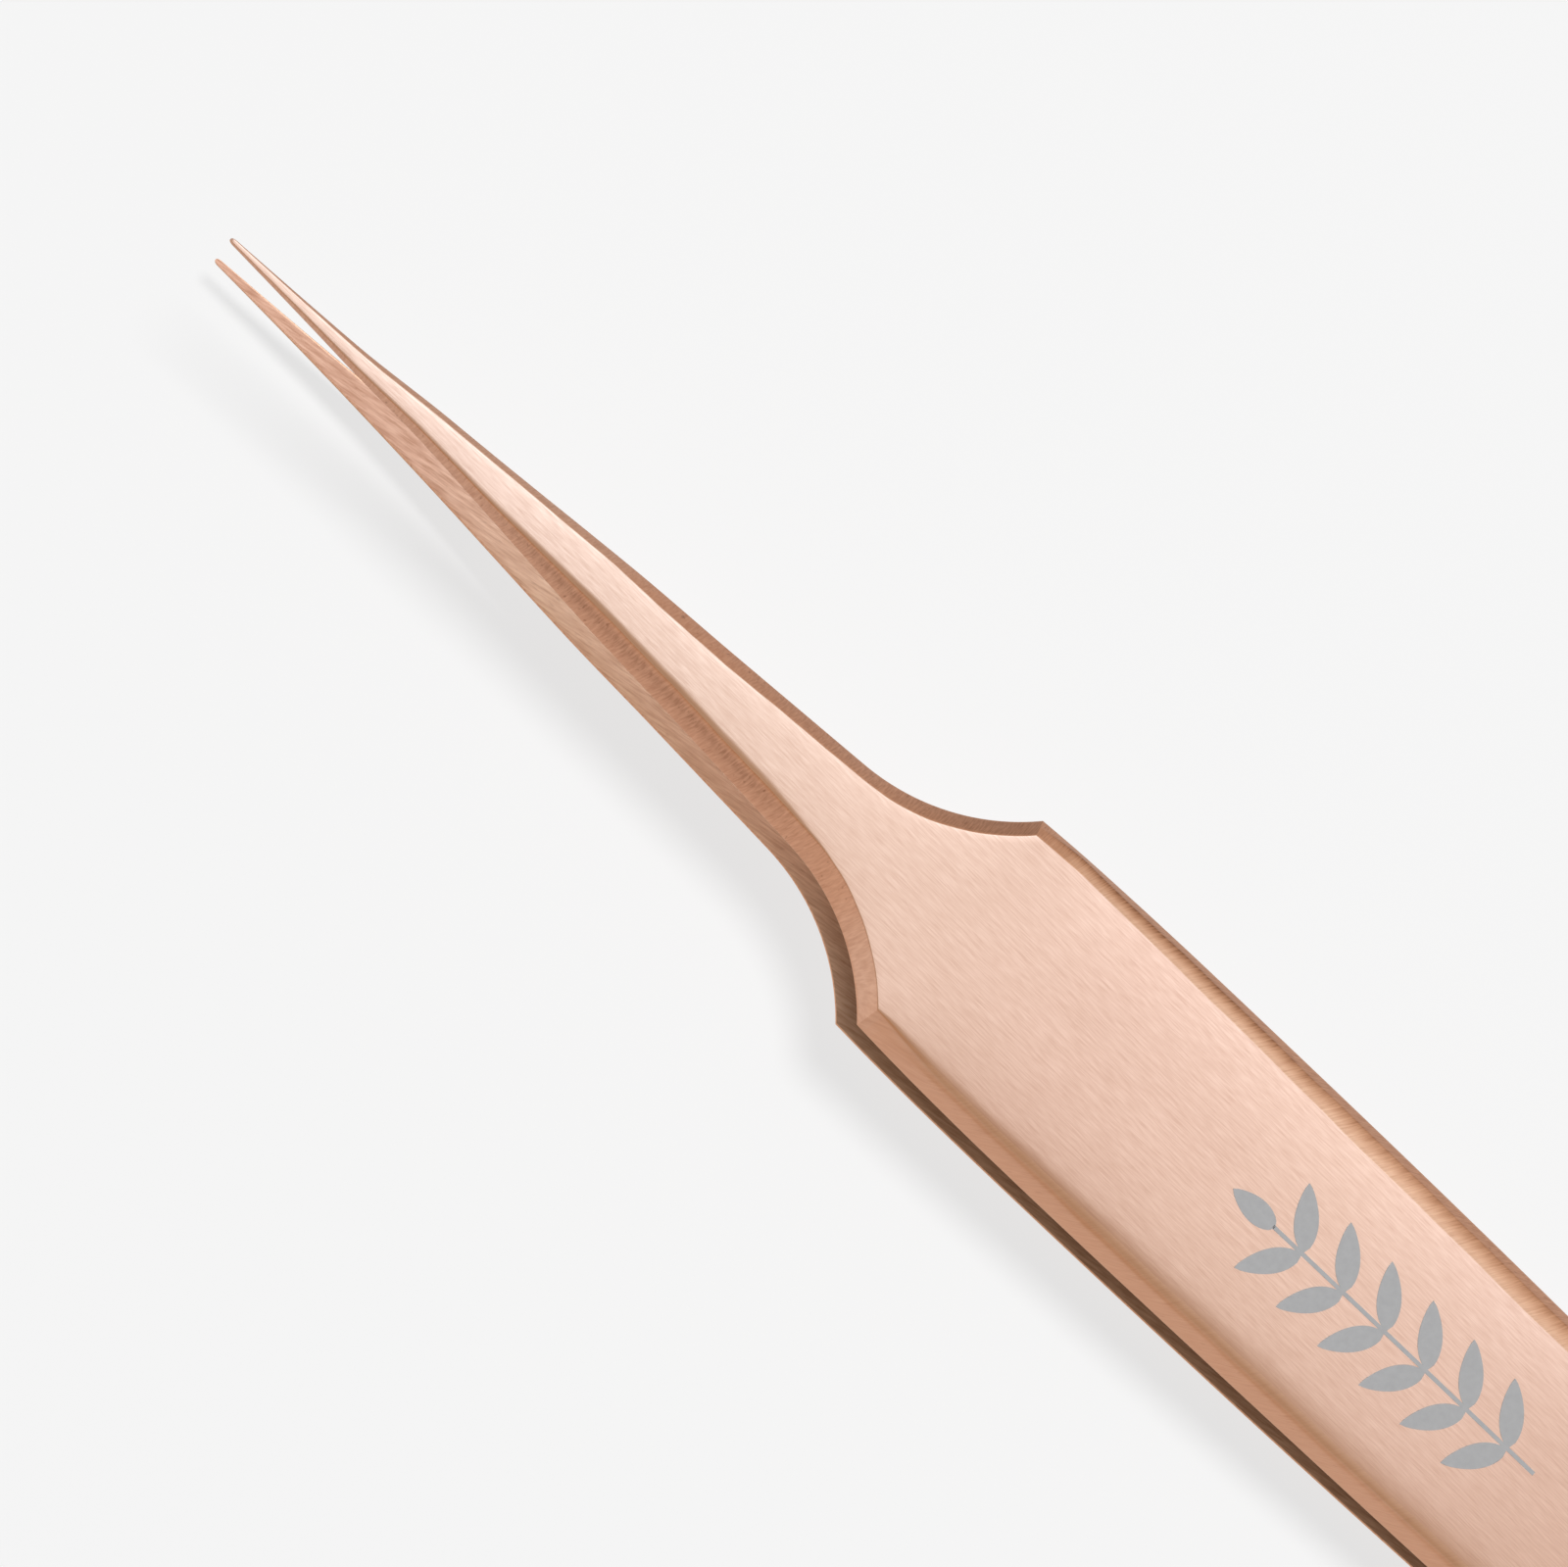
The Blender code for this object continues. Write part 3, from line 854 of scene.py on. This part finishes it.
def brushed(name, stops, roughness, angle, lines, streaks, contrast, depth, anisotropy, pits,
            calm_share=1.0, polish_and_highlight_band=False):
    """Rose-gold steel with fine grain along one direction of the leaf.

    stops are the metal's colours along the leaf (share of its length, colour); they paint light and
    shade along it. lines and streaks are (along, across) frequencies per millimetre of the fine
    grain and of the longer scratches; contrast is how far they shade the metal and depth is the
    bump's depth in metres. pits is the strength of the small dark nicks. calm_share is how much of
    the contrast is left where the grinding is calm; a polished band takes the face's colour towards
    its crest, and on the neck it also carries a painted highlight. The shade map paints shade: a
    dark line on the break, and warmer, darker right-hand ground sides.
    """
    n = Surface(name)
    station, edges = n.marks("region")
    band, calm = n.marks("finish")
    lined, right_warm_shade = n.marks("shade")
    fine = n.noise(n.grain_vector(angle, lines), detail=2.0)
    long = n.noise(n.grain_vector(angle + STREAK_TURN, streaks), detail=2.0)
    cloud = n.noise(n.grain_vector(angle, CLOUD_SCALE), detail=2.0)
    mixed = n.maths("ADD", n.maths("MULTIPLY", fine, FINE_SHARE),
                    n.maths("MULTIPLY", long, 1.0 - FINE_SHARE))

    # The stops paint light and shade along the leaf. The band mixes in the polished face's colour,
    # on the neck also as a painted highlight.
    metal = n.ramp(n.spread(station, 0.0, LENGTH, 0.0, 1.0), stops)
    if polish_and_highlight_band:
        metal = n.mix(band, metal, n.blend(cloud, *POLISH_AND_HIGHLIGHT_TONES))

    tone = n.maths("SUBTRACT", n.spread(mixed, 0.36, 0.62, 1.0, 0.0), MIDDLE_TONE)
    tone = n.maths("MULTIPLY", tone, n.spread(calm, 0.0, 1.0, 1.0, calm_share))
    tone = n.maths("ADD", tone, MIDDLE_TONE)
    dark = tuple(1.0 - contrast * k for k in DARKENING)
    light = tuple(1.0 + contrast * k for k in LIGHTENING)
    metal = n.multiply(1.0, metal, n.blend(tone, light, dark))
    clouded = n.spread(cloud, 0.3, 0.7, 1.0, 0.0)
    metal = n.multiply(1.0, metal, n.blend(clouded, *CLOUD_TONES))

    nicks = n.noise(n.grain_vector(angle, NICK_SCALE), detail=1.0)
    nicked = n.maths("MULTIPLY", n.spread(nicks, 0.67, 0.77, 0.0, 1.0), pits)
    nicked = n.maths("MULTIPLY", nicked, n.spread(calm, 0.0, 1.0, 1.0, 0.3))
    nicked = n.maths("MULTIPLY", nicked, n.spread(band, 0.0, 0.3, 1.0, 0.0))
    metal = n.multiply(nicked, metal, n.blend(nicks, *NICK_TONES))

    worn = n.spread(edges, 0.2, 1.0, 0.0, 0.8)
    worn = n.maths("MULTIPLY", worn, n.spread(long, 0.42, 0.58, 0.4, 1.0))
    metal = n.mix(worn, metal, n.blend(cloud, *WORN_TONES))

    # Painted shade: the dark line on the break, and the neck's and grip's darkening.
    line = n.spread(lined, 0.0, 1.0, 0.0, 0.95)
    line = n.maths("MULTIPLY", line, n.spread(fine, 0.36, 0.62, 1.0, 0.5))
    metal = n.multiply(line, metal, n.blend(long, *SHADE_LINE_TONES))
    # Painted shade: the right-hand ground sides warmer and darker.
    metal = n.multiply(right_warm_shade, metal, n.blend(cloud, *RIGHT_SHADE_TONES))
    n.link(metal, n.shader.inputs["Base Color"])

    rough = n.maths("ADD", n.spread(fine, 0.3, 0.7, 0.05, -0.05),
                    n.spread(cloud, 0.3, 0.7, -0.02, 0.02))
    n.link(n.maths("ADD", rough, roughness), n.shader.inputs["Roughness"])
    n.link(n.bump(mixed, 1.0, depth), n.shader.inputs["Normal"])
    tangent = n.add("ShaderNodeTangent", direction_type="UV_MAP", uv_map="grain")
    n.link(tangent.outputs["Tangent"], n.shader.inputs["Tangent"])
    n.shader.inputs["Metallic"].default_value = 1.0
    n.shader.inputs["Anisotropic"].default_value = anisotropy
    return n.material


def ink():
    n = Surface("grey_print")
    coordinate = n.add("ShaderNodeTexCoord")
    speck = n.noise(coordinate.outputs["Object"], scale=4000.0, detail=2.0)
    grey = n.blend(n.spread(speck, 0.3, 0.7, 0.0, 1.0), (0.355, 0.355, 0.36), (0.385, 0.385, 0.39))
    n.link(grey, n.shader.inputs["Base Color"])
    n.link(n.spread(speck, 0.3, 0.7, 0.5, 0.62), n.shader.inputs["Roughness"])
    n.link(n.bump(speck, 0.3, 0.000002), n.shader.inputs["Normal"])
    n.shader.inputs["Specular IOR Level"].default_value = 0.2
    return n.material


def weld_metal():
    n = Surface("fused_steel")
    coordinate = n.add("ShaderNodeTexCoord")
    mottle = n.noise(coordinate.outputs["Object"], scale=2500.0, detail=4.0)
    steel = n.blend(n.spread(mottle, 0.3, 0.7, 0.0, 1.0), (0.34, 0.31, 0.30), (0.52, 0.49, 0.47))
    n.link(steel, n.shader.inputs["Base Color"])
    n.link(n.spread(mottle, 0.3, 0.7, 0.4, 0.6), n.shader.inputs["Roughness"])
    n.link(n.bump(mottle, 0.5, 0.00001), n.shader.inputs["Normal"])
    n.shader.inputs["Metallic"].default_value = 1.0
    return n.material


# Colours along the leaf: (share of its length, colour). Their changes along the leaf are painted
# light and shade, lighter where the leaf is lit more.
FACE_STOPS = (
    (0.0, (0.91, 0.655, 0.55)),
    (0.09, (0.93, 0.69, 0.59)),
    (0.15, (0.92, 0.68, 0.575)),
    (0.20, (0.945, 0.70, 0.59)),
    (0.26, (0.95, 0.69, 0.575)),
    (0.31, (0.935, 0.665, 0.55)),
    (0.36, (0.885, 0.61, 0.50)),
    (0.45, (0.90, 0.625, 0.51)),
    (0.52, (0.94, 0.66, 0.55)),
    (1.0, (0.95, 0.67, 0.56)),
)
# The bevels' deeper colour is partly their ground finish and partly painted shade; their darker
# neck stretch is painted shade.
BEVEL_STOPS = (
    (0.0, (0.92, 0.545, 0.375)),
    (0.2, (0.90, 0.52, 0.355)),
    (0.28, (0.90, 0.52, 0.35)),
    (0.33, (0.96, 0.585, 0.41)),
    (1.0, (0.97, 0.59, 0.41)),
)
# Painted light and shade on the inner face: lit near the point, dark behind the shoulder where the
# leaves shade each other.
INNER_STOPS = (
    (0.0, (0.84, 0.51, 0.38)),
    (0.09, (0.87, 0.57, 0.44)),
    (0.15, (0.97, 0.72, 0.565)),
    (0.25, (0.94, 0.69, 0.55)),
    (0.32, (0.50, 0.35, 0.265)),
    (1.0, (0.44, 0.30, 0.235)),
)

face_metal = brushed(
    "brushed_face", FACE_STOPS, roughness=0.36, angle=-1.0, lines=(1.4, 24.0), streaks=(0.45, 12.0),
    contrast=0.105, depth=0.0000011, anisotropy=0.5, pits=0.0,
)
bevel_metal = brushed(
    "ground_bevel", BEVEL_STOPS, roughness=0.36, angle=90.0, lines=(1.4, 14.0), streaks=(0.8, 6.0),
    contrast=0.14, depth=0.0000035, anisotropy=0.1, pits=0.75, calm_share=0.45, polish_and_highlight_band=True,
)
inner_metal = brushed(
    "brushed_inner", INNER_STOPS, roughness=0.55, angle=8.0, lines=(1.2, 14.0), streaks=(0.6, 6.0),
    contrast=0.20, depth=0.0000035, anisotropy=0.2, pits=0.3,
)
leaf_metals = [face_metal, bevel_metal, inner_metal]

upper = leaf("upper_arm_leaf", 1, leaf_metals)
lower = leaf("lower_arm_leaf", -1, leaf_metals)
print_work = printed_sprig(ink())

for made, arm in ((upper, "upper_arm"), (lower, "lower_arm")):
    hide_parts(f"{arm}_blade", f"{arm}_root")
    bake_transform(made)
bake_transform(print_work)

fused = weld_metal()
for name in ("spot_weld_front", "spot_weld_rear"):
    node = frame["nodes"][name]
    node.data.materials.clear()
    node.data.materials.append(fused)

# ---------------------------------------------------------------- studio


FLOOR_HALF_SIDE = 3.0
FLOOR_GREY = 0.15
FLOOR_GLOW = 0.75
WHITE = (1.0, 1.0, 1.0, 1.0)
SEEN_GREY = (0.913, 0.913, 0.913, 1.0)
BLACK = (0.0, 0.0, 0.0, 1.0)

# The broad light overhead: its middle and spread are parts of a unit sphere seen from above.
LOBE_MIDDLE = (0.12, -0.40)
LOBE_SPREAD = (0.50, 0.41)
LOBE_STRENGTH = 1.55
LOBE_LIGHT = (0.94, 1.13, 1.285)
LOBE_HORIZON = (-0.05, 0.45)
# The room's light above and below, and the heights between which one turns into the other.
UPPER_ROOM = (0.45, 0.33, 0.225)
LOWER_ROOM = (0.60, 0.52, 0.465)
ROOM_HORIZON = (-0.15, 0.35)
FAR_SIDE = 0.96
# Patches of the room that are dimmer and brighter: (direction, change).
CORNERS = (((0.50, -0.60, -0.60), -0.38), ((0.65, 0.60, -0.45), 0.25))
CORNER_SPREAD = 0.38

KEY_PLACE = (0.02, -0.325, 1.2)
KEY_TARGET = (0.02, 0.0, 0.0)
KEY_SIZE = 0.30
KEY_POWER = 16.7

SENSOR_WIDTH = 36.0
LENS = 157.57
CAMERA_PLACE = (0.04214968, 0.03124872, 0.23794201)
CAMERA_TURN = (0.05769781, -0.13257901, -2.39759646)


def floor():
    """A pale floor that mostly glows by itself, so that it stays even, and takes a soft shadow."""
    mesh = bmesh.new()
    bmesh.ops.create_grid(mesh, x_segments=8, y_segments=8, size=FLOOR_HALF_SIDE)
    data = bpy.data.meshes.new("studio_floor")
    mesh.to_mesh(data)
    mesh.free()
    made = bpy.data.objects.new("studio_floor", data)
    bpy.context.scene.collection.objects.link(made)
    n = Surface("pale_floor")
    n.shader.inputs["Base Color"].default_value = (FLOOR_GREY, FLOOR_GREY, FLOOR_GREY, 1.0)
    n.shader.inputs["Roughness"].default_value = 1.0
    n.shader.inputs["Specular IOR Level"].default_value = 0.0
    n.shader.inputs["Emission Color"].default_value = WHITE
    n.shader.inputs["Emission Strength"].default_value = FLOOR_GLOW
    data.materials.append(n.material)
    made.visible_glossy = False


def rise(n, height, horizon):
    """From 0 below the horizon's first height to 1 above its second."""
    node = n.add("ShaderNodeMapRange", interpolation_type="SMOOTHSTEP")
    node.inputs["From Min"].default_value = horizon[0]
    node.inputs["From Max"].default_value = horizon[1]
    n.link(height, node.inputs["Value"])
    return node.outputs["Result"]


def bell(n, squared):
    return n.maths("EXPONENT", n.maths("MULTIPLY", squared, -1.0), 0.0)


def overhead_light(n, split):
    """The broad soft light overhead, to the far side."""
    squares = []
    for axis, middle, spread in zip(("X", "Y"), LOBE_MIDDLE, LOBE_SPREAD):
        away = n.maths("DIVIDE", n.maths("SUBTRACT", split.outputs[axis], middle), spread)
        squares.append(n.maths("MULTIPLY", away, away))
    lobe = bell(n, n.maths("ADD", squares[0], squares[1]))
    lobe = n.maths("MULTIPLY", lobe, rise(n, split.outputs["Z"], LOBE_HORIZON))
    node = n.add("ShaderNodeBackground")
    node.inputs["Color"].default_value = (*LOBE_LIGHT, 1.0)
    n.link(n.maths("MULTIPLY", lobe, LOBE_STRENGTH), node.inputs["Strength"])
    return node.outputs[0]


def room_light(n, direction, split):
    """The dim warm room, darker overhead, with a dimmer and a brighter patch."""
    tint = n.add("ShaderNodeMix", data_type="RGBA")
    tint.inputs["A"].default_value = (*LOWER_ROOM, 1.0)
    tint.inputs["B"].default_value = (*UPPER_ROOM, 1.0)
    n.link(rise(n, split.outputs["Z"], ROOM_HORIZON), tint.inputs["Factor"])
    side = n.add("ShaderNodeMapRange")
    side.inputs["From Min"].default_value = -1.0
    side.inputs["To Min"].default_value = FAR_SIDE
    side.inputs["To Max"].default_value = 1.0
    n.link(split.outputs["Y"], side.inputs["Value"])
    strength = side.outputs["Result"]
    for corner, change in CORNERS:
        away = n.add("ShaderNodeVectorMath", operation="DISTANCE")
        away.inputs[1].default_value = corner
        n.link(direction, away.inputs[0])
        near = n.maths("DIVIDE", away.outputs["Value"], CORNER_SPREAD)
        patch = bell(n, n.maths("MULTIPLY", near, near))
        change = n.maths("ADD", n.maths("MULTIPLY", patch, change), 1.0)
        strength = n.maths("MULTIPLY", strength, change)
    node = n.add("ShaderNodeBackground")
    n.link(tint.outputs["Result"], node.inputs["Color"])
    n.link(strength, node.inputs["Strength"])
    return node.outputs[0]


def flat_light(n, color):
    node = n.add("ShaderNodeBackground")
    node.inputs["Color"].default_value = color
    return node.outputs[0]


def either(n, switch, off, on):
    node = n.add("ShaderNodeMixShader")
    n.link(switch, node.inputs["Fac"])
    n.link(off, node.inputs[1])
    n.link(on, node.inputs[2])
    return node.outputs[0]


def world():
    """What the metal reflects; plain and pale to the camera, and no light on rough surfaces."""
    made = bpy.data.worlds.new("studio")
    bpy.context.scene.world = made
    made.use_nodes = True
    made.node_tree.nodes.clear()
    n = Nodes(made.node_tree)
    direction = n.add("ShaderNodeTexCoord").outputs["Generated"]
    split = n.add("ShaderNodeSeparateXYZ")
    n.link(direction, split.inputs[0])
    seen = n.add("ShaderNodeAddShader")
    n.link(overhead_light(n, split), seen.inputs[0])
    n.link(room_light(n, direction, split), seen.inputs[1])
    path = n.add("ShaderNodeLightPath")
    light = either(n, path.outputs["Is Camera Ray"], seen.outputs[0], flat_light(n, SEEN_GREY))
    light = either(n, path.outputs["Is Diffuse Ray"], light, flat_light(n, BLACK))
    n.link(light, n.add("ShaderNodeOutputWorld").inputs["Surface"])


def shadow_key():
    """The lamp that casts the floor's soft shadow; the metal doesn't mirror it."""
    data = bpy.data.lights.new("shadow_key", "AREA")
    data.shape = "DISK"
    data.size = KEY_SIZE
    data.energy = KEY_POWER
    made = bpy.data.objects.new("shadow_key", data)
    bpy.context.scene.collection.objects.link(made)
    made.location = KEY_PLACE
    aim = Vector(KEY_TARGET) - Vector(KEY_PLACE)
    made.rotation_euler = aim.to_track_quat("-Z", "Y").to_euler()
    made.visible_glossy = False
    made.visible_camera = False


def camera():
    data = bpy.data.cameras.new("camera")
    data.sensor_width = SENSOR_WIDTH
    data.lens = LENS
    data.clip_start = 0.01
    data.clip_end = 20.0
    made = bpy.data.objects.new("camera", data)
    bpy.context.scene.collection.objects.link(made)
    made.location = CAMERA_PLACE
    made.rotation_euler = CAMERA_TURN
    bpy.context.scene.camera = made


floor()
world()
camera()
shadow_key()
bpy.context.scene.view_settings.view_transform = "Standard"
